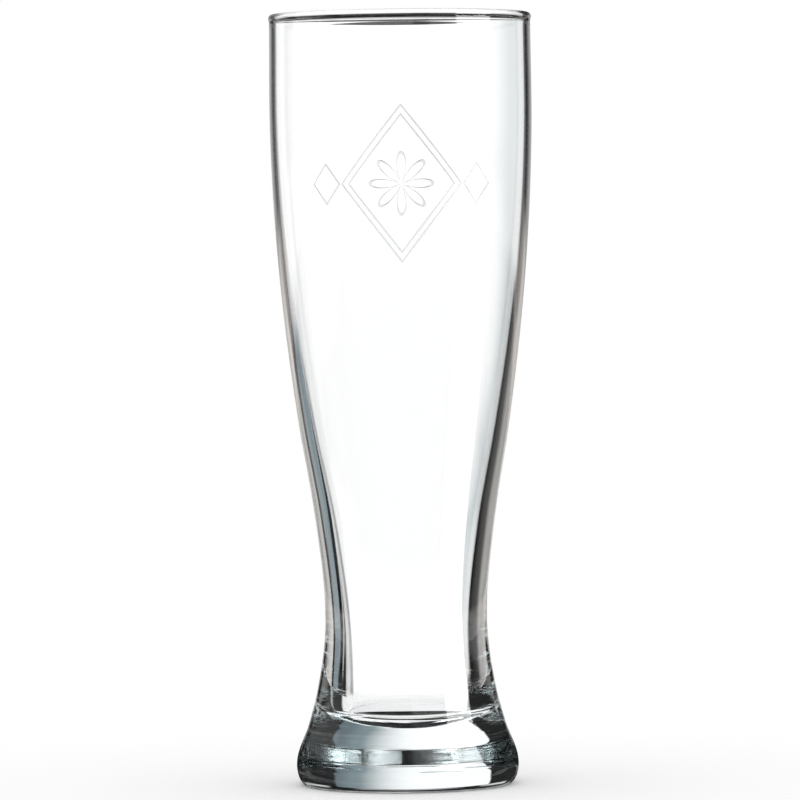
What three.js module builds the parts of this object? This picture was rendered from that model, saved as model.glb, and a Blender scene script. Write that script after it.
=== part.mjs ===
// A tall beer glass in clear soda-lime glass: a nearly straight bowl, a long taper, a narrow waist
// and a thick flared foot. Millimetres, +Z up, origin on the axis where the glass stands.
// The real glass is formed in one piece. Each zone of its forming is a body of revolution here,
// and neighbouring zones meet face to face on a flat ring across the wall.
import * as THREE from "three";

// Heights above the surface that the glass stands on
const HEIGHT = 216;
const HEEL_HEIGHT = 5.8;
const FOOT_SIDE_HEIGHT = 17.2;
const WAIST_HEIGHT = 45.8;
const SHOULDER_HEIGHT = 128.7;
const NECK_BELOW_RIM = 4;

// Outer radii, from the foot up
const RING_INNER_RADIUS = 25.2;
const RING_OUTER_RADIUS = 28.5;
const HEEL_RADIUS = 31.17;
const FOOT_SIDE_RADIUS = 27.6;
const ANKLE_RADIUS = 25.1;
const WAIST_RADIUS = 22.7;
const LOWER_TAPER_RADIUS = 25.05;
const UPPER_TAPER_RADIUS = 29.5;
const SHOULDER_RADIUS = 33.07;
const NECK_RADIUS = 36.58;

// Wall thickness, from the middle of the floor up
const FLOOR_THICKNESS = 13.5;
const WAIST_WALL = 5.35;
const LOWER_TAPER_WALL = 4.5;
const UPPER_TAPER_WALL = 3.75;
const SHOULDER_WALL = 2.95;
const LOWER_BOWL_WALL = 2.33;
const UPPER_BOWL_WALL = 2.03;
const NECK_WALL = 1.95;

// Small forms: the dished floor and its rounded corner, the hollow of the underside, and how far
// the lower bowl draws in, and the upper bowl and the rim bead swell out, from the neck
const FLOOR_RADIUS = 17.5;
const FLOOR_DISH_RADIUS = 32;
const FLOOR_CORNER_RADIUS = 3;
const PUNT_DEPTH = 1;
const BOWL_DRAW_IN = 1.07;
const BOWL_SWELL = 0.1;
const BEAD_SWELL = 0.25;

// Facets around the axis, and steps along each stretch of the outline
const SEGMENTS = 48;
const BOWL_STEPS = 12;
const TAPER_STEPS = 10;
const WAIST_STEPS = 6;
const FOOT_SIDE_STEPS = 6;
const HEEL_STEPS = 6;
const PUNT_STEPS = 4;
const CORNER_STEPS = 4;
const DISH_STEPS = 5;
const BEAD_STEPS = 12;

// Heights and radii that follow from the ones above
const neckHeight = HEIGHT - NECK_BELOW_RIM;
const lowerBowlHeight = THREE.MathUtils.lerp(SHOULDER_HEIGHT, neckHeight, 1 / 3);
const upperBowlHeight = THREE.MathUtils.lerp(SHOULDER_HEIGHT, neckHeight, 2 / 3);
const lowerTaperHeight = THREE.MathUtils.lerp(WAIST_HEIGHT, SHOULDER_HEIGHT, 1 / 3);
const upperTaperHeight = THREE.MathUtils.lerp(WAIST_HEIGHT, SHOULDER_HEIGHT, 2 / 3);
const ankleHeight = THREE.MathUtils.lerp(FOOT_SIDE_HEIGHT, WAIST_HEIGHT, 1 / 3);
const cornerCentreRadius = FLOOR_RADIUS - FLOOR_CORNER_RADIUS;
const dishCentreHeight = FLOOR_THICKNESS + FLOOR_DISH_RADIUS;
const dishAngle = Math.asin(cornerCentreRadius / (FLOOR_DISH_RADIUS - FLOOR_CORNER_RADIUS));
const footTopHeight = dishCentreHeight - cornerCentreRadius / Math.tan(dishAngle);
const lowerBowlRadius = NECK_RADIUS - BOWL_DRAW_IN;
const upperBowlRadius = NECK_RADIUS + BOWL_SWELL;

// The outer and inner outline as smooth curves: radius as a function of height.
const outerRadius = radiusCurve([
  [HEEL_HEIGHT, HEEL_RADIUS],
  [FOOT_SIDE_HEIGHT, FOOT_SIDE_RADIUS],
  [ankleHeight, ANKLE_RADIUS],
  [WAIST_HEIGHT, WAIST_RADIUS],
  [lowerTaperHeight, LOWER_TAPER_RADIUS],
  [upperTaperHeight, UPPER_TAPER_RADIUS],
  [SHOULDER_HEIGHT, SHOULDER_RADIUS],
  [lowerBowlHeight, lowerBowlRadius],
  [upperBowlHeight, upperBowlRadius],
  [neckHeight, NECK_RADIUS],
]);
const innerRadius = radiusCurve([
  [footTopHeight, FLOOR_RADIUS],
  [WAIST_HEIGHT, WAIST_RADIUS - WAIST_WALL],
  [lowerTaperHeight, LOWER_TAPER_RADIUS - LOWER_TAPER_WALL],
  [upperTaperHeight, UPPER_TAPER_RADIUS - UPPER_TAPER_WALL],
  [SHOULDER_HEIGHT, SHOULDER_RADIUS - SHOULDER_WALL],
  [lowerBowlHeight, lowerBowlRadius - LOWER_BOWL_WALL],
  [upperBowlHeight, upperBowlRadius - UPPER_BOWL_WALL],
  [neckHeight, NECK_RADIUS - NECK_WALL],
]);

function radiusCurve(stations) {
  const heights = stations.map(([height]) => height);
  const radii = stations.map(([, radius]) => radius);
  const curve = new THREE.CubicInterpolant(heights, radii, 1, new Float64Array(1));
  curve.settings = { endingStart: THREE.ZeroSlopeEnding, endingEnd: THREE.ZeroCurvatureEnding };
  return (height) => curve.evaluate(height)[0];
}

// Points of one side of the wall, from one height to another.
function side(radiusAt, fromHeight, toHeight, steps) {
  return Array.from({ length: steps + 1 }, (_, step) => {
    const height = THREE.MathUtils.lerp(fromHeight, toHeight, step / steps);
    return new THREE.Vector2(radiusAt(height), height);
  });
}

// Points of an elliptical arc between two angles in degrees.
function arc(centreRadius, centreHeight, radialReach, verticalReach, fromDegrees, toDegrees, steps) {
  const curve = new THREE.EllipseCurve(
    centreRadius,
    centreHeight,
    radialReach,
    verticalReach,
    THREE.MathUtils.degToRad(fromDegrees),
    THREE.MathUtils.degToRad(toDegrees),
    toDegrees < fromDegrees,
  );
  return curve.getPoints(steps);
}

// Clear glass with a faint cool tint.
function clearGlass() {
  return new THREE.MeshStandardMaterial({
    color: 0xeaf2f1,
    roughness: 0.03,
    metalness: 0,
    transparent: true,
    opacity: 0.4,
  });
}

// A zone of the glass: its outline turned about the axis, which becomes +Z.
function zone(name, outline) {
  const geometry = new THREE.LatheGeometry(outline, SEGMENTS);
  geometry.rotateX(Math.PI / 2);
  const mesh = new THREE.Mesh(geometry, clearGlass());
  mesh.name = name;
  return mesh;
}

// A ring of the wall between two heights, cut square to the axis at both ends.
function wallRing(name, lowHeight, highHeight, steps) {
  const outline = [
    ...side(outerRadius, lowHeight, highHeight, steps),
    ...side(innerRadius, highHeight, lowHeight, steps),
  ];
  return zone(name, [...outline, outline[0]]);
}

// The fire-polished rim: a round bead, a little wider than the wall that it tops.
function rimBead() {
  const beadRadius = NECK_WALL / 2 + BEAD_SWELL;
  const centreRadius = NECK_RADIUS - NECK_WALL / 2;
  const centreHeight = HEIGHT - beadRadius;
  const meetingDegrees = THREE.MathUtils.radToDeg(Math.acos(NECK_WALL / 2 / beadRadius));
  const bead = arc(
    centreRadius,
    centreHeight,
    beadRadius,
    beadRadius,
    -meetingDegrees,
    180 + meetingDegrees,
    BEAD_STEPS,
  );
  const outline = [
    new THREE.Vector2(NECK_RADIUS, neckHeight),
    ...bead,
    new THREE.Vector2(NECK_RADIUS - NECK_WALL, neckHeight),
  ];
  return zone("rim_bead", [...outline, outline[0]]);
}

// The solid foot: a hollowed underside inside a flat bearing ring, a rounded heel, flared sides,
// and the dished floor of the glass with its rounded corner.
function foot() {
  const punt = arc(0, 0, RING_INNER_RADIUS, PUNT_DEPTH, 90, 0, PUNT_STEPS);
  const heel = arc(
    RING_OUTER_RADIUS,
    HEEL_HEIGHT,
    HEEL_RADIUS - RING_OUTER_RADIUS,
    HEEL_HEIGHT,
    -90,
    0,
    HEEL_STEPS,
  );
  const meetingDegrees = THREE.MathUtils.radToDeg(dishAngle) - 90;
  const corner = arc(
    cornerCentreRadius,
    footTopHeight,
    FLOOR_CORNER_RADIUS,
    FLOOR_CORNER_RADIUS,
    0,
    meetingDegrees,
    CORNER_STEPS,
  );
  const dish = arc(
    0,
    dishCentreHeight,
    FLOOR_DISH_RADIUS,
    FLOOR_DISH_RADIUS,
    meetingDegrees,
    -90,
    DISH_STEPS,
  );
  return zone("foot", [
    ...punt,
    ...heel,
    ...side(outerRadius, HEEL_HEIGHT, footTopHeight, FOOT_SIDE_STEPS).slice(1),
    ...corner,
    ...dish.slice(1),
  ]);
}

const glass = new THREE.Group();
glass.add(
  foot(),
  wallRing("waist_wall", footTopHeight, WAIST_HEIGHT, WAIST_STEPS),
  wallRing("taper_wall", WAIST_HEIGHT, SHOULDER_HEIGHT, TAPER_STEPS),
  wallRing("bowl_wall", SHOULDER_HEIGHT, neckHeight, BOWL_STEPS),
  rimBead(),
);

export default glass;
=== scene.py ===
"""A tall beer glass in clear soda-lime glass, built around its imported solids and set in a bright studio."""

import math
from typing import NamedTuple

import bmesh
import bpy
from bpy.props import FloatProperty, FloatVectorProperty, IntProperty, PointerProperty
from mathutils import Matrix, Vector
from mathutils.geometry import interpolate_bezier


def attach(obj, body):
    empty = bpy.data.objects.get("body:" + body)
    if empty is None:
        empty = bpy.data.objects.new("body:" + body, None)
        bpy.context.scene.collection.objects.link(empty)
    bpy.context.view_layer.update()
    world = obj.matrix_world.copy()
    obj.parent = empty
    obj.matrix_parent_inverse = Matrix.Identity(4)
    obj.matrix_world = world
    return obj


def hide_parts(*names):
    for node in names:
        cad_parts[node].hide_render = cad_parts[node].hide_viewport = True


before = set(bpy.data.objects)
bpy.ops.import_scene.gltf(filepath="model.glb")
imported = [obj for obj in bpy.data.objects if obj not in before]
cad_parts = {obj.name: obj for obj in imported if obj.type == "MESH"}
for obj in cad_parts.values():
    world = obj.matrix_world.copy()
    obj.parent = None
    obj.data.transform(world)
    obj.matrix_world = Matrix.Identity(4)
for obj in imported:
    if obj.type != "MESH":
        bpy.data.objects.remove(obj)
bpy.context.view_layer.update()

bl_info = {
    "name": "Beer Glass",
    "version": (1, 0, 0),
    "blender": (4, 5, 0),
    "location": "View3D > Sidebar > Glass",
    "description": "Builds a tall beer glass with its clear finish and a bright studio around it",
    "category": "Object",
}


class PaintedPanel(NamedTuple):
    """A painted panel of the studio, a painted reflection or highlight that only the glass shows: its reach
    and soft edges in degrees, and its colour.
    """

    across: tuple
    up: tuple
    soft_across: float
    soft_up: float
    colour: tuple


def grey(level):
    """A neutral colour."""
    return (level, level, level, 1)


# The zones of the glass that one seamless wall stands for, from the foot up
ZONES = ("foot", "waist_wall", "taper_wall", "bowl_wall", "rim_bead")
BODY = "root"
PIECE = "glass_wall"
RUN = "outline_run"
WELD = 1e-6
FLOOR_SIDES = 96
RING_SIDES = 128
LIGHT_BOUNCES = 32
PICTURE_PIXELS = 800
SENSOR_MM = 36.0

# Stretches of the wall in metres along its outline, from the middle of the underside: from, to and soft edge
BEARING_RING = (0.0252, 0.0287, 0.0004)
FOOT_SIDE = (0.032, 0.064, 0.004)
OUTER_BOWL = (0.15, 0.24, 0.002)

# How sharp the foot's ripples are, and the petals of the rosette
RIPPLE_DETAIL = 1.0
RIPPLE_CREST = (0.6, 0.72)
PETALS = 8

# The studio is laid out in degrees across, from +Y towards +X, and degrees up. Its plain tones: a painted
# dark and a painted bright that only the glass shows, and white
PAINTED_DARK = grey(0.02)
WHITE = grey(1)
PAINTED_BRIGHT = grey(1.1)

# Painted reflections and painted dark edges that the edges of the wall show from left to right, high and low
# on the glass: degrees across and level
RAMP_REACH = 64
HIGH_PAINTED_EDGES = (
    (-64, 0.95), (-40, 0.85), (-31.5, 0.4), (-30, 0.02), (-23.5, 0), (-8, 0.6), (0, 0.6),
    (8, 0.4), (16, 0.36), (22, 0.02), (33.5, 0), (37, 0.6), (42, 0.8),
)
LOW_PAINTED_EDGES = (
    (-64, 0.9), (-55.5, 0.75), (-52.5, 0), (-20.5, 0.03), (-18.5, 0.7), (-8, 0.7),
    (10, 0.42), (22, 0.4), (32, 0.05), (55, 0), (61, 0.8),
)
LOW_PAINTED_TINT = (1.03, 1, 0.96)
COOL_PAINTED_PANEL = (-45, -26.5, 2)
COOL_PAINTED_GREY = (0.27, 0.33, 0.355, 1)
SIDE_PAINTED_DARK = ((-124, -108), (-72, -56), (102, 117), (153, 168))
SIDE_SOFT = 4

# The border between the high and the low painted edge tones: its height, and its steps as degrees from and to
# and a rise
BORDER_HEIGHT = -8.3
BORDER_STEPS = ((-22, -18, 3.3), (18, 24, -1.6))
BORDER_SOFT = 0.7

# Limits of the painted shade that the foot's flanks show, of the painted bright floor beyond the glass and of
# the painted dark above
AHEAD = (-42, 45, 6)
FORWARD = (-88, 80, 6)
PAINTED_SHADE_TOP = (-16, -13)
GROUND_TOP = (-21.5, -19.5)
PAINTED_FLOOR_FIELD = (-80, 33, 3)
EDGE_PAINTED_CEILING = (4, 7)

# Painted reflections that the foot shows inside: graded panels with the share that shows, a panel on both
# sides, and painted highlights that light nothing else
REAR_PAINTED_REFLECTIONS = (
    (PaintedPanel((-88, -4), (8, 47), 8, 3, (0.95, 0.97, 0.97, 1)), 1.0),
    (PaintedPanel((96, 174), (8, 47), 8, 3, (0.95, 0.97, 0.97, 1)), 0.5),
)
REAR_PAINTED_GRADIENT = (-10, 45)
SIDE_PAINTED_REFLECTION = PaintedPanel((66, 100), (-28, -17), 6, 2, (0.62, 0.6, 0.57, 1))
PAINTED_HIGHLIGHTS = (
    PaintedPanel((-190, -15), (48, 58.5), 6, 1, grey(4)),
    PaintedPanel((25, 190), (60, 72), 6, 1, grey(2.5)),
    PaintedPanel((20, 110), (48, 60), 6, 1, grey(1.6)),
)

# Painted reflections on the outside of the glass: a softbox that lights nothing else, and below the horizon a
# warm strip over a pale field
PAINTED_SOFTBOX = PaintedPanel((93, 129), (-30, 42), 2, 3, grey(8))
PAINTED_PALE_FIELD = (-21, 21, 8)
PAINTED_PALE_TONES = (grey(0.03), grey(0.6))
PAINTED_WARM_STRIP = (-5.5, -4.5)
PAINTED_WARM_GREY = (0.74, 0.7, 0.66, 1)
MIRROR_TOP = (-2, -1)

# The painted view through both walls, a bright field between painted dark flags: degrees across and level,
# and a cool zone that slants to the right
PAINTED_BOWL_FIELD = (
    (-64, 1.1), (-33, 0.9), (-28, 0.3), (-25.5, 0.3), (-23, 1.19),
    (28, 1.19), (33, 0.3), (38, 0.3), (42, 1), (64, 1.1),
)
COOL_PAINTED_ZONE = (5, 30, 6)
COOL_SLANT = 1.2
COOL_PAINTED_WHITE = (0.73, 0.775, 0.79, 1)
BOWL_PAINTED_CEILING = (4, 6)

# Painted panels of the low ring, which glows only in the glass: degrees from and to, soft edge and level. Its
# painted bright field turns to cool greys.
PAINTED_RING_PANELS = ((-106, -76, 6, 1), (97, 173, 6, 0.85), (-49, -41, 3, 0.5))
PAINTED_RING_FIELD = grey(1.2)
PAINTED_RING_GREYS = ((-0.7, 4, (0.24, 0.3, 0.32, 1)), (4, 8, (0.16, 0.2, 0.22, 1)))


class Value:
    """An output socket of a node tree. Arithmetic on it adds Math nodes to the tree."""

    def __init__(self, tree, socket=None):
        self.tree = tree
        self.socket = socket

    def node(self, kind, settings=None, sockets=None, output=0):
        """A new node of that type, with its settings made first and then its sockets set or linked."""
        made = self.tree.nodes.new(kind)
        for name, setting in (settings or {}).items():
            setattr(made, name, setting)
        for name, given in (sockets or {}).items():
            if isinstance(given, Value):
                self.tree.links.new(given.socket, made.inputs[name])
            else:
                made.inputs[name].default_value = given
        return Value(self.tree, made.outputs[output]) if made.outputs else made

    def math(self, operation, *operands):
        """A Math node on the operands."""
        return self.node("ShaderNodeMath", {"operation": operation}, dict(enumerate(operands)))

    def __add__(self, other):
        return self.math("ADD", self, other)

    __radd__ = __add__

    def __sub__(self, other):
        return self.math("SUBTRACT", self, other)

    def __rsub__(self, other):
        return self.math("SUBTRACT", other, self)

    def __mul__(self, other):
        return self.math("MULTIPLY", self, other)

    __rmul__ = __mul__

    def __truediv__(self, other):
        return self.math("DIVIDE", self, other)

    def step(self, low, high):
        """A smooth rise from 0 at low to 1 at high."""
        sockets = {"Value": self, "From Min": low, "From Max": high}
        return self.node("ShaderNodeMapRange", {"interpolation_type": "SMOOTHSTEP"}, sockets)

    def ramp(self, stops, tint=(1, 1, 1)):
        """A shade that follows straight lines between stops, each a value and its level."""
        reach = RAMP_REACH
        scaled = self.node("ShaderNodeMapRange", None, {"Value": self, "From Min": -reach, "From Max": reach})
        shade = self.node("ShaderNodeValToRGB", None, {0: scaled})
        elements = shade.socket.node.color_ramp.elements
        while len(elements) < len(stops):
            elements.new(1.0)
        for element, (place, level) in zip(elements, stops):
            element.position = (place + reach) / (2 * reach)
            element.color = (*(level * part for part in tint), 1)
        return shade

    def mix(self, factor, below, above):
        """One colour laid over another by a factor."""
        return self.node("ShaderNodeMix", {"data_type": "RGBA"}, {0: factor, 6: below, 7: above}, 2)

    def band(self, low, high, soft):
        """1 between low and high, with soft edges that are half inside and half outside."""
        rise = self.step(low - soft / 2, low + soft / 2)
        fall = self.step(high - soft / 2, high + soft / 2)
        return rise * (1 - fall)


class GlassShape(bpy.types.PropertyGroup):
    """How finely the wall of the glass is modelled."""

    around: IntProperty(name="Around", description="Faces around the axis", default=224, min=48)
    longest_step: FloatProperty(
        name="Longest Step",
        description="Longest face along the outline",
        default=0.0022,
        unit="LENGTH",
        precision=4,
    )
    least_steps: IntProperty(
        name="Least Steps", description="Faces along each stretch of the outline", default=4, min=1
    )


class GlassFinish(bpy.types.PropertyGroup):
    """The clear glass: what it bends, tints and scatters."""

    refraction: FloatProperty(name="Refraction", description="Index of soda-lime glass", default=1.52)
    roughness: FloatProperty(
        name="Roughness", description="Fire-polished surface", default=0.0, subtype="FACTOR"
    )
    tint: FloatVectorProperty(
        name="Tint", description="What thick glass takes on", default=(0.8, 0.87, 0.88), subtype="COLOR"
    )
    tint_per_metre: FloatProperty(
        name="Tint per Metre", description="How fast glass takes on its tint", default=9.0
    )
    stipple: FloatProperty(
        name="Stipple", description="Depth on the bearing ring", default=3e-5, unit="LENGTH", precision=6
    )
    stipple_scale: FloatProperty(name="Stipple Scale", description="Grains per metre", default=1800.0)
    ripple: FloatProperty(
        name="Ripple", description="Depth on the pressed foot", default=1.5e-5, unit="LENGTH", precision=6
    )
    ripple_scale: FloatVectorProperty(
        name="Ripple Scale", description="Ripples per metre, around and upwards", default=(25, 25, 900)
    )


class Ornament(bpy.types.PropertyGroup):
    """The etched ornament on the front of the bowl."""

    height: FloatProperty(
        name="Height", description="Of its middle above the floor", default=0.168, unit="LENGTH"
    )
    bowl_radius: FloatProperty(
        name="Bowl Radius", description="Of the wall under it", default=0.0353, unit="LENGTH", precision=4
    )
    half_width: FloatProperty(
        name="Half Width", description="Of the large lozenge", default=0.0165, unit="LENGTH", precision=4
    )
    half_height: FloatProperty(
        name="Half Height", description="Of the large lozenge", default=0.0215, unit="LENGTH", precision=4
    )
    inner_share: FloatProperty(
        name="Inner Share", description="Of its second line", default=0.879, subtype="FACTOR"
    )
    petal: FloatProperty(
        name="Petal", description="Length of a petal", default=0.0085, unit="LENGTH", precision=4
    )
    side_place: FloatProperty(
        name="Side Place", description="Of the small lozenges", default=0.0215, unit="LENGTH", precision=4
    )
    side_half_width: FloatProperty(
        name="Side Half Width", description="Of a small lozenge", default=0.0042, unit="LENGTH", precision=4
    )
    side_half_height: FloatProperty(
        name="Side Half Height", description="Of a small lozenge", default=0.0055, unit="LENGTH", precision=4
    )
    line: FloatProperty(
        name="Line", description="Width of the lines", default=0.0005, unit="LENGTH", precision=5
    )
    depth: FloatProperty(
        name="Depth", description="Depth of the lines", default=4e-5, unit="LENGTH", precision=6
    )
    roughness: FloatProperty(
        name="Roughness", description="Of the lines", default=0.35, subtype="FACTOR"
    )
    colour: FloatVectorProperty(
        name="Colour", description="What the lines let through", default=(0.7, 0.71, 0.72), subtype="COLOR"
    )


class Studio(bpy.types.PropertyGroup):
    """The light and the floor."""

    spare_light: FloatProperty(
        name="Spare Light", description="Light on the floor above plain white", default=0.12
    )
    floor_radius: FloatProperty(name="Floor Radius", description="Of the floor", default=0.6, unit="LENGTH")
    floor_drop: FloatProperty(
        name="Floor Drop", description="Gap under the glass", default=0.0002, unit="LENGTH", precision=5
    )
    floor_colour: FloatVectorProperty(
        name="Floor Colour", description="Pale matt floor", default=(0.93, 0.93, 0.93), subtype="COLOR"
    )


class PaintedLowRing(bpy.types.PropertyGroup):
    """The painted ring of panels close round the foot, which glows only in the glass, with its painted bright
    field behind the glass.
    """

    radius: FloatProperty(name="Radius", description="Of the ring", default=0.054, unit="LENGTH")
    top: FloatProperty(name="Top", description="Height of its upper edge", default=0.0116, unit="LENGTH")
    bottom: FloatProperty(
        name="Bottom", description="Height of its lower edge", default=-0.014, unit="LENGTH"
    )
    field_middle: FloatProperty(
        name="Field Middle", description="Middle of the bright field, in degrees across", default=-1.7
    )
    field_half: FloatProperty(
        name="Field Half Width", description="Of the bright field at the floor, in degrees", default=10.9
    )
    field_taper: FloatProperty(
        name="Field Taper", description="Degrees that each side draws in per metre of height", default=110.0
    )
    field_lean: FloatProperty(
        name="Field Lean", description="Degrees that the field moves per metre under the floor", default=400.0
    )
    field_soft: FloatProperty(
        name="Field Edge", description="Soft edge of the field, in degrees", default=0.5
    )


class View(bpy.types.PropertyGroup):
    """The camera, which looks along +Y at the glass."""

    distance: FloatProperty(
        name="Distance", description="From the axis of the glass", default=1.635, unit="LENGTH"
    )
    eye_height: FloatProperty(name="Eye Height", description="Above the floor", default=0.1517, unit="LENGTH")
    down: FloatProperty(
        name="Down", description="Tilt downwards", default=math.radians(1.541), subtype="ANGLE"
    )
    left: FloatProperty(
        name="Left", description="Turn to the left", default=math.radians(0.037), subtype="ANGLE"
    )
    roll: FloatProperty(
        name="Roll", description="Turn about the line of sight", default=math.radians(-0.65), subtype="ANGLE"
    )
    focal_pixels: FloatProperty(name="Focal Length", description="In pixels of the picture", default=5829.0)


def half_section():
    """The solids' common outline as a wire in the half-plane x > 0, without the seams between them."""
    bm = bmesh.new()
    for name in ZONES:
        bm.from_mesh(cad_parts[name].data)
    bmesh.ops.remove_doubles(bm, verts=bm.verts, dist=WELD)
    bmesh.ops.bisect_plane(
        bm,
        geom=[*bm.verts, *bm.edges, *bm.faces],
        dist=WELD,
        plane_co=(0, 0, 0),
        plane_no=(0, 1, 0),
        clear_inner=True,
        clear_outer=True,
    )
    other_half = [v for v in bm.verts if v.co.x < -WELD]
    bmesh.ops.delete(bm, geom=other_half, context="VERTS")
    seams = [e for e in bm.edges if all(len(v.link_edges) > 2 for v in e.verts)]
    bmesh.ops.delete(bm, geom=seams, context="EDGES")
    return bm


def outline_points():
    """The outline's points, from the middle of the underside round the rim to the middle of the floor."""
    bm = half_section()
    ends = [v for v in bm.verts if len(v.link_edges) == 1]
    if len(ends) != 2:
        bm.free()
        raise RuntimeError("the solids' outline isn't one open line")
    here = min(ends, key=lambda v: v.co.z)
    points = [here.co.copy()]
    edge = here.link_edges[0]
    while edge:
        here = edge.other_vert(here)
        points.append(here.co.copy())
        edge = next((e for e in here.link_edges if e is not edge), None)
    bm.free()
    return points


def directions(points):
    """The outline's direction at each point, level on the axis and where the glass touches the floor."""
    level = Vector((1, 0, 0))
    found = [level]
    for before, here, after in zip(points, points[1:], points[2:]):
        found.append(level if here.z < WELD else (after - before).normalized())
    return [*found, -level]


def smooth_outline(shape):
    """Points along a smooth curve through the outline's own points."""
    points = outline_points()
    ways = directions(points)
    smooth = [points[0]]
    for start, end, out, into in zip(points, points[1:], ways, ways[1:]):
        length = (end - start).length
        steps = max(shape.least_steps, math.ceil(length / shape.longest_step))
        reach = length / 3
        curve = interpolate_bezier(start, start + out * reach, end - into * reach, end, steps + 1)
        smooth.extend(curve[1:])
    return smooth


def lathe(points, around):
    """A closed mesh of the outline turned about the axis. Its vertices keep the run along the outline."""
    bm = bmesh.new()
    layer = bm.verts.layers.float.new(RUN)
    run = 0.0
    line = []
    for place in points:
        vert = bm.verts.new(place)
        run += (place - line[-1].co).length if line else 0.0
        vert[layer] = run
        line.append(vert)
    edges = [bm.edges.new(pair) for pair in zip(line, line[1:])]
    bmesh.ops.spin(
        bm, geom=[*line, *edges], cent=(0, 0, 0), axis=(0, 0, 1), angle=math.tau, steps=around, use_merge=True
    )
    bmesh.ops.remove_doubles(bm, verts=bm.verts, dist=WELD)
    bmesh.ops.recalc_face_normals(bm, faces=bm.faces)
    for face in bm.faces:
        face.smooth = True
    mesh = bpy.data.meshes.new(PIECE)
    bm.to_mesh(mesh)
    bm.free()
    return mesh


def new_tree(owner):
    """The owner's emptied node tree, as something to build nodes from."""
    owner.use_nodes = True
    owner.node_tree.nodes.clear()
    return Value(owner.node_tree)


def lozenge(tree, along, upward, half_width, half_height, line):
    """1 on the outline of a lozenge about the origin."""
    reach = tree.math("ABSOLUTE", along) / half_width + tree.math("ABSOLUTE", upward) / half_height
    slack = line / 2 * math.hypot(1 / half_width, 1 / half_height)
    return reach.band(1 - slack, 1 + slack, slack)


def rosette(tree, along, upward, radius, line):
    """1 on the outline of a ring of petals about the origin."""
    out = tree.math("SQRT", along * along + upward * upward)
    turn = tree.math("ARCTAN2", upward, along)
    petal = tree.math("ABSOLUTE", tree.math("COSINE", turn * (PETALS / 2))) * radius
    return (out - petal).band(-line, line, line)


def etched_lines(tree, ornament, run):
    """1 on the ornament's lines: a rosette in a double lozenge, between small lozenges."""
    place = tree.node("ShaderNodeTexCoord", None, None, "Object")
    x, y, z = (tree.node("ShaderNodeSeparateXYZ", None, {0: place}, axis) for axis in "XYZ")
    along = tree.math("ARCTAN2", x, y * -1) * ornament.bowl_radius
    upward = z - ornament.height
    aside = tree.math("ABSOLUTE", along) - ornament.side_place
    line = ornament.line
    width, height, share = ornament.half_width, ornament.half_height, ornament.inner_share
    shapes = (
        lozenge(tree, along, upward, width, height, line),
        lozenge(tree, along, upward, width * share, height * share, line),
        lozenge(tree, aside, upward, ornament.side_half_width, ornament.side_half_height, line),
        rosette(tree, along, upward, ornament.petal, line),
    )
    drawn = shapes[0]
    for shape in shapes[1:]:
        drawn = tree.math("MAXIMUM", drawn, shape)
    return drawn * run.band(*OUTER_BOWL)


def foot_relief(tree, finish, run):
    """Height of the bearing ring's stipple and of the ripples that pressing leaves on the foot."""
    place = tree.node("ShaderNodeTexCoord", None, None, "Object")
    grain = tree.node("ShaderNodeTexNoise", None, {"Vector": place, "Scale": finish.stipple_scale})
    stretch = tuple(finish.ripple_scale)
    flat = tree.node("ShaderNodeVectorMath", {"operation": "MULTIPLY"}, {0: place, 1: stretch})
    wave = tree.node("ShaderNodeTexNoise", None, {"Vector": flat, "Scale": 1.0, "Detail": RIPPLE_DETAIL})
    stipple = grain * run.band(*BEARING_RING) * finish.stipple
    ripples = wave.step(*RIPPLE_CREST) * run.band(*FOOT_SIDE) * finish.ripple
    return stipple + ripples


def clear_glass(finish, ornament):
    """Clear glass with a cool tint where it is thick, a lightly rippled foot and an etched ornament."""
    material = bpy.data.materials.new("clear_glass")
    tree = new_tree(material)
    run = tree.node("ShaderNodeAttribute", {"attribute_name": RUN}, None, "Fac")
    etched = etched_lines(tree, ornament, run)
    height = foot_relief(tree, finish, run) - etched * ornament.depth
    relief = tree.node("ShaderNodeBump", None, {"Strength": 1.0, "Distance": 1.0, "Height": height})
    surface = tree.node(
        "ShaderNodeBsdfPrincipled",
        None,
        {
            "Base Color": tree.mix(etched, WHITE, (*ornament.colour, 1)),
            "Roughness": etched * ornament.roughness + finish.roughness,
            "IOR": finish.refraction,
            "Transmission Weight": 1.0,
            "Normal": relief,
        },
    )
    tint = {"Color": (*finish.tint, 1), "Density": finish.tint_per_metre}
    volume = tree.node("ShaderNodeVolumeAbsorption", None, tint)
    tree.node("ShaderNodeOutputMaterial", None, {"Surface": surface, "Volume": volume})
    return material


def compass(tree, output):
    """Azimuth in degrees from +Y towards +X, and the upward part, of a texture coordinate."""
    place = tree.node("ShaderNodeTexCoord", None, None, output)
    x, y, z = (tree.node("ShaderNodeSeparateXYZ", None, {0: place}, axis) for axis in "XYZ")
    return tree.math("ARCTAN2", x, y) * math.degrees(1), z


def through_glass(tree):
    """1 for what the glass shows by mirroring or bending light, and 0 for what else is lit or seen."""
    glossy = tree.node("ShaderNodeLightPath", None, None, "Is Glossy Ray")
    bent = tree.node("ShaderNodeLightPath", None, None, "Is Transmission Ray")
    return tree.math("MAXIMUM", glossy, bent)


def through_bowl(tree):
    """1 for what is seen through both walls of the glass, and 0 for what its edges and its foot show."""
    crossings = tree.node("ShaderNodeLightPath", None, None, "Transmission Depth")
    return tree.math("GREATER_THAN", crossings, 2)


def mirrored(tree):
    """1 for what the outside of the glass mirrors, and 0 for what is seen through it."""
    crossings = tree.node("ShaderNodeLightPath", None, None, "Transmission Depth")
    return tree.math("LESS_THAN", crossings, 1)


def bounced(tree):
    """1 for light that was mirrored on its way, and 0 for light that was only bent."""
    bounces = tree.node("ShaderNodeLightPath", None, None, "Glossy Depth")
    return tree.math("GREATER_THAN", bounces, 0)


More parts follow.
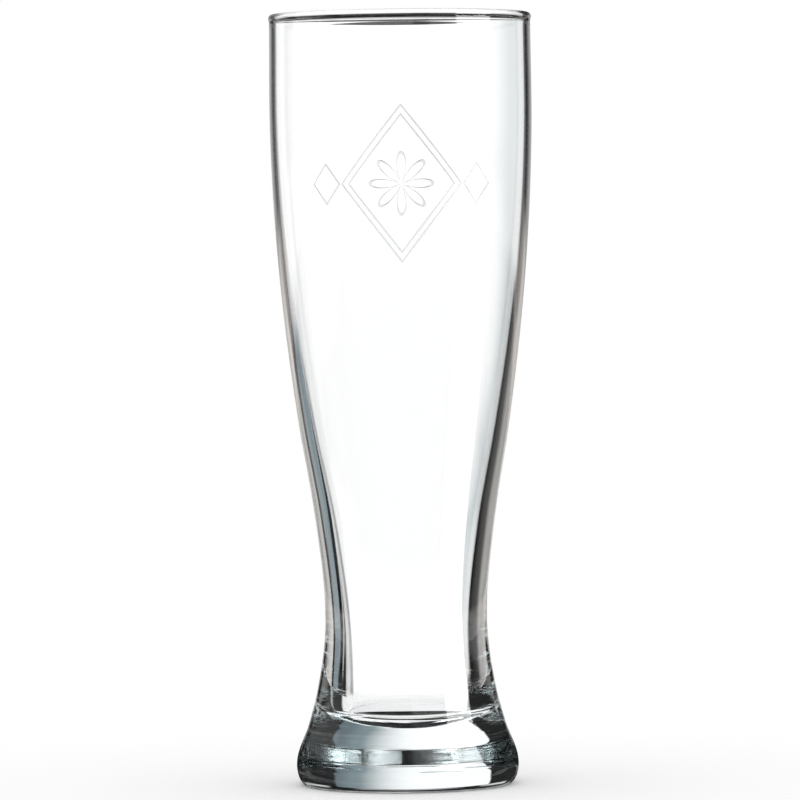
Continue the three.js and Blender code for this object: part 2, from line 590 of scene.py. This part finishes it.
def bounced_once(tree):
    """1 for light that was mirrored just once on its way."""
    bounces = tree.node("ShaderNodeLightPath", None, None, "Glossy Depth")
    return tree.math("COMPARE", bounces, 1, 0.5)


def floor_finish(studio):
    """A pale matt floor."""
    material = bpy.data.materials.new("pale_floor")
    tree = new_tree(material)
    matt = tree.node("ShaderNodeBsdfDiffuse", None, {"Color": (*studio.floor_colour, 1)})
    tree.node("ShaderNodeOutputMaterial", None, {"Surface": matt})
    return material


def painted_ring_field(tree, ring, across, height):
    """1 on the painted bright field of the low ring, which narrows upwards and leans under the floor."""
    lean = tree.math("MAXIMUM", height * -ring.field_lean, 0)
    away = tree.math("ABSOLUTE", across - ring.field_middle - lean)
    return (ring.field_half - height * ring.field_taper - away).step(-ring.field_soft, ring.field_soft)


def painted_ring_finish(ring):
    """The painted light and painted dark panels of the low ring, which only the glass shows. What is seen
    through the bowl passes it.
    """
    material = bpy.data.materials.new("painted_low_ring")
    tree = new_tree(material)
    across, height = compass(tree, "Object")
    tone = PAINTED_DARK
    for start, end, soft, level in PAINTED_RING_PANELS:
        tone = tree.mix(across.band(start, end, soft), tone, grey(level))
    graded = PAINTED_RING_FIELD
    for start, end, colour in PAINTED_RING_GREYS:
        graded = tree.mix(across.step(start, end), graded, colour)
    tone = tree.mix(painted_ring_field(tree, ring, across, height), tone, graded)
    tone = tree.mix(mirrored(tree), tone, PAINTED_DARK)
    shown = tree.node("ShaderNodeEmission", None, {"Color": tone})
    clear = tree.node("ShaderNodeBsdfTransparent")
    surface = tree.node("ShaderNodeMixShader", None, {0: through_bowl(tree), 1: shown, 2: clear})
    tree.node("ShaderNodeOutputMaterial", None, {"Surface": surface})
    return material


def lay(tree, tone, across, up, panel, share=1):
    """A panel laid over what is shown so far, by a share."""
    cover = across.band(*panel.across, panel.soft_across) * up.band(*panel.up, panel.soft_up)
    return tree.mix(cover * share, tone, panel.colour)


def painted_edge_tones(tree, across, up):
    """Painted reflections and painted dark edges that only the glass shows at eye level: one row of flags
    high on the glass and one low on it.
    """
    border = BORDER_HEIGHT
    for start, end, rise in BORDER_STEPS:
        border = across.step(start, end) * rise + border
    sunk = 1 - (up - border).step(-BORDER_SOFT, BORDER_SOFT)
    low = tree.mix(across.band(*COOL_PAINTED_PANEL), across.ramp(LOW_PAINTED_EDGES, LOW_PAINTED_TINT), COOL_PAINTED_GREY)
    tone = tree.mix(sunk, across.ramp(HIGH_PAINTED_EDGES), low)
    # Painted dark strips at the sides, seen only in the glass
    for flag in SIDE_PAINTED_DARK:
        tone = tree.mix(across.band(*flag, SIDE_SOFT), tone, PAINTED_DARK)
    return tone


def painted_shade_floor_and_ceiling(tree, tone, across, up):
    """Painted shade that the foot's flanks show, a painted bright floor in front of it and painted dark
    above, all seen only in the glass.
    """
    aside = 1 - across.band(*AHEAD)
    painted_flank_shade = aside * tree.math("MAXIMUM", bounced(tree), across.band(*FORWARD))
    # Painted shade on the foot's flanks
    tone = tree.mix(painted_flank_shade * (1 - up.step(*PAINTED_SHADE_TOP)), tone, PAINTED_DARK)
    floor = tree.mix(across.band(*PAINTED_FLOOR_FIELD), PAINTED_DARK, PAINTED_BRIGHT)
    tone = tree.mix(1 - up.step(*GROUND_TOP), tone, floor)
    return tree.mix(up.step(*EDGE_PAINTED_CEILING), tone, PAINTED_DARK)


def painted_foot_reflections(tree, tone, across, up):
    """Painted reflections and painted highlights that the foot shows by mirroring them inside."""
    graded = bounced_once(tree) * up.step(*REAR_PAINTED_GRADIENT)
    for panel, share in REAR_PAINTED_REFLECTIONS:
        tone = lay(tree, tone, across, up, panel, graded * share)
    tone = lay(tree, tone, tree.math("ABSOLUTE", across), up, SIDE_PAINTED_REFLECTION, bounced(tree))
    # Painted highlights, seen only in the glass
    for light in PAINTED_HIGHLIGHTS:
        tone = lay(tree, tone, across, up, light)
    return tone


def painted_outside_reflection(tree, tone, across, up):
    """Painted reflection on the outside of the glass below the horizon."""
    pale = tree.mix(across.band(*PAINTED_PALE_FIELD), *PAINTED_PALE_TONES)
    pale = tree.mix(up.step(*PAINTED_WARM_STRIP), pale, PAINTED_WARM_GREY)
    return tree.mix(mirrored(tree) * (1 - up.step(*MIRROR_TOP)), tone, pale)


def painted_bowl_view(tree, across, up):
    """The painted view through both walls: a bright field between two painted dark flags, with a cool zone on
    the right.
    """
    slanted = across + tree.math("MINIMUM", up, 0) * COOL_SLANT
    tone = tree.mix(slanted.band(*COOL_PAINTED_ZONE), across.ramp(PAINTED_BOWL_FIELD), COOL_PAINTED_WHITE)
    tone = tree.mix(1 - up.step(*GROUND_TOP), tone, PAINTED_BRIGHT)
    return tree.mix(up.step(*BOWL_PAINTED_CEILING), tone, PAINTED_DARK)


def studio_light_and_painted_reflections(studio):
    """The world: white to the camera, even to the floor, and to the glass only a painted bright field with
    painted dark flags, painted reflections and painted highlights.
    """
    world = bpy.data.worlds.new("studio")
    bpy.context.scene.world = world
    tree = new_tree(world)
    across, upward = compass(tree, "Generated")
    up = tree.math("ARCSINE", upward) * math.degrees(1)
    edges = painted_edge_tones(tree, across, up)
    edges = painted_shade_floor_and_ceiling(tree, edges, across, up)
    edges = painted_foot_reflections(tree, edges, across, up)
    edges = painted_outside_reflection(tree, edges, across, up)
    tone = tree.mix(through_bowl(tree), edges, painted_bowl_view(tree, across, up))
    # A painted softbox reflection on the outside of the glass, which lights nothing else
    tone = lay(tree, tone, across, up, PAINTED_SOFTBOX, mirrored(tree))
    even = tree.node("ShaderNodeLightPath", None, None, "Is Diffuse Ray") * studio.spare_light + 1
    plain = tree.node("ShaderNodeBackground", None, {"Color": WHITE, "Strength": even})
    shown = tree.node("ShaderNodeBackground", None, {"Color": tone})
    surface = tree.node("ShaderNodeMixShader", None, {0: through_glass(tree), 1: plain, 2: shown})
    tree.node("ShaderNodeOutputWorld", None, {"Surface": surface})


def add_object(name, data):
    """A new object in the scene."""
    made = bpy.data.objects.new(name, data)
    bpy.context.scene.collection.objects.link(made)
    return made


def floor_disc(studio):
    """The floor, which the glass doesn't show: there it gives way to the world."""
    bm = bmesh.new()
    bmesh.ops.create_circle(bm, cap_ends=True, segments=FLOOR_SIDES, radius=studio.floor_radius)
    mesh = bpy.data.meshes.new("floor")
    bm.to_mesh(mesh)
    bm.free()
    floor = add_object("floor", mesh)
    floor.location.z = -studio.floor_drop
    floor.visible_transmission = False
    floor.visible_glossy = False
    mesh.materials.append(floor_finish(studio))


def painted_low_ring(settings):
    """A low ring of painted light and painted dark panels round the foot, which only the glass shows."""
    bm = bmesh.new()
    middle = Matrix.Translation((0, 0, (settings.top + settings.bottom) / 2))
    bmesh.ops.create_cone(
        bm,
        segments=RING_SIDES,
        radius1=settings.radius,
        radius2=settings.radius,
        depth=settings.top - settings.bottom,
        matrix=middle,
    )
    mesh = bpy.data.meshes.new("painted_low_ring")
    bm.to_mesh(mesh)
    bm.free()
    ring = add_object("painted_low_ring", mesh)
    ring.visible_camera = False
    ring.visible_diffuse = False
    ring.visible_shadow = False
    mesh.materials.append(painted_ring_finish(settings))


def camera(view):
    """The camera, level with the bowl and tilted down a little."""
    lens = bpy.data.cameras.new("camera")
    lens.sensor_width = SENSOR_MM
    lens.lens = view.focal_pixels / PICTURE_PIXELS * SENSOR_MM
    eye = add_object("camera", lens)
    turn = Matrix.Rotation(view.left, 4, "Z") @ Matrix.Rotation(math.pi / 2 - view.down, 4, "X")
    place = Matrix.Translation((0, -view.distance, view.eye_height))
    eye.matrix_world = place @ turn @ Matrix.Rotation(view.roll, 4, "Z")
    bpy.context.scene.camera = eye


class GLASS_OT_wall(bpy.types.Operator):
    """Turns the outline of the solids into one seamless wall of clear glass"""

    bl_idname = "glass.wall"
    bl_label = "Glass Wall"

    def execute(self, context):
        scene = context.scene
        mesh = lathe(smooth_outline(scene.glass_shape), scene.glass_shape.around)
        mesh.materials.append(clear_glass(scene.glass_finish, scene.glass_ornament))
        wall = add_object(PIECE, mesh)
        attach(wall, BODY)
        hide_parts(*ZONES)
        return {"FINISHED"}


class GLASS_OT_stage(bpy.types.Operator):
    """Sets the glass on a pale floor in a bright studio, whose painted reflections only the glass shows, with
    the camera in front of it
    """

    bl_idname = "glass.stage"
    bl_label = "Stage"

    def execute(self, context):
        scene = context.scene
        scene.view_settings.view_transform = "Standard"
        scene.cycles.max_bounces = LIGHT_BOUNCES
        scene.cycles.transmission_bounces = LIGHT_BOUNCES
        scene.cycles.glossy_bounces = LIGHT_BOUNCES
        camera(scene.glass_view)
        studio_light_and_painted_reflections(scene.glass_studio)
        floor_disc(scene.glass_studio)
        painted_low_ring(scene.glass_ring)
        return {"FINISHED"}


class GLASS_PT_panel(bpy.types.Panel):
    """Lists the steps that build the glass and its stage"""

    bl_idname = "GLASS_PT_panel"
    bl_label = "Beer Glass"
    bl_space_type = "VIEW_3D"
    bl_region_type = "UI"
    bl_category = "Glass"

    def draw(self, context):
        for operator in OPERATORS:
            self.layout.operator(operator.bl_idname)


GROUPS = {
    "glass_shape": GlassShape,
    "glass_finish": GlassFinish,
    "glass_ornament": Ornament,
    "glass_studio": Studio,
    "glass_ring": PaintedLowRing,
    "glass_view": View,
}
OPERATORS = (GLASS_OT_wall, GLASS_OT_stage)
CLASSES = (*GROUPS.values(), *OPERATORS, GLASS_PT_panel)


def register():
    for made in CLASSES:
        bpy.utils.register_class(made)
    for name, group in GROUPS.items():
        setattr(bpy.types.Scene, name, PointerProperty(type=group))


def unregister():
    for name in GROUPS:
        delattr(bpy.types.Scene, name)
    for made in reversed(CLASSES):
        bpy.utils.unregister_class(made)


def main():
    register()
    bpy.ops.glass.wall()
    bpy.ops.glass.stage()


if __name__ == "__main__":
    main()
